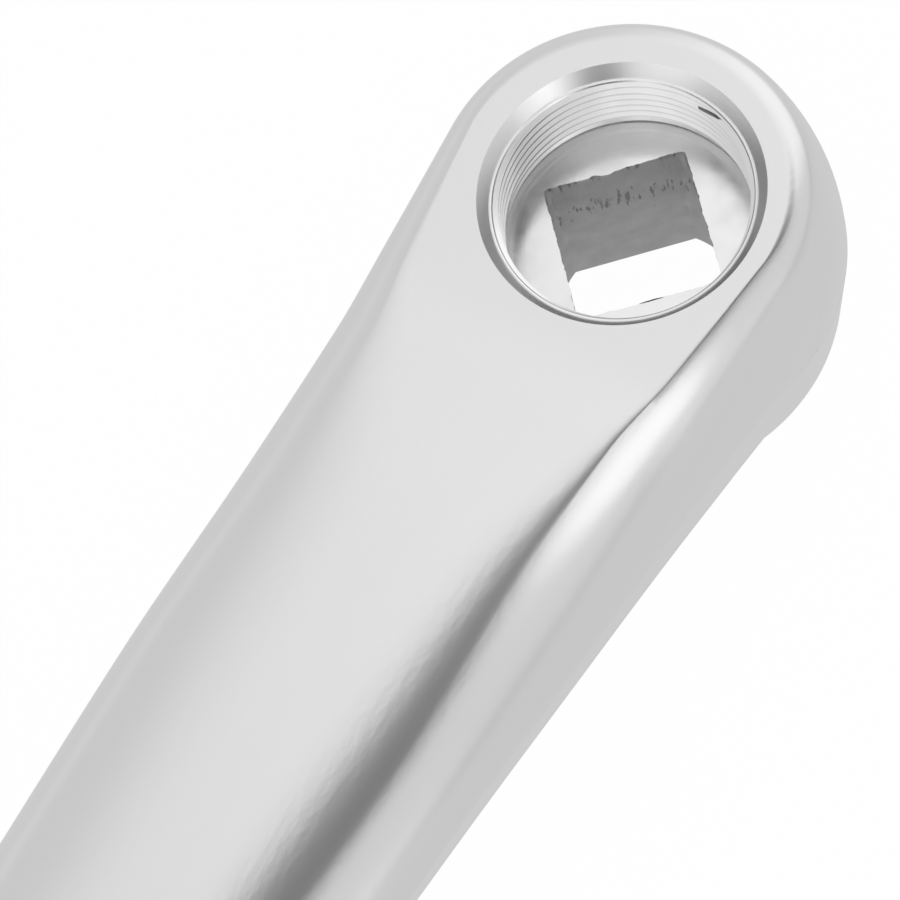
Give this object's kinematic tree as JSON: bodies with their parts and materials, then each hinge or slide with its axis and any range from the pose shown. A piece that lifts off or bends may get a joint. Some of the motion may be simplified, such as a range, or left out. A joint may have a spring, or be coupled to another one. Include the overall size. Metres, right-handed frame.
{
  "type": "bicycle crank arm",
  "caption": "Left bicycle crank arm: a forged tapering bar with rounded sides, a round boss with a threaded recess and a tapered square socket, and a threaded pedal eye.",
  "frame": {"origin": "on the spindle axis, in the boss's inner face, where the spindle enters", "axes": "+Z along the spindle axis, away from the bicycle's frame; +X along the arm to the pedal"},
  "size_m": [0.2023, 0.0362, 0.0344],
  "materials": {
    "forged_aluminium": "satin, forged and tumbled, with machined threads and recess"
  },
  "bodies": {
    "root": {"crank_arm": "forged_aluminium"}
  },
  "joints": []
}
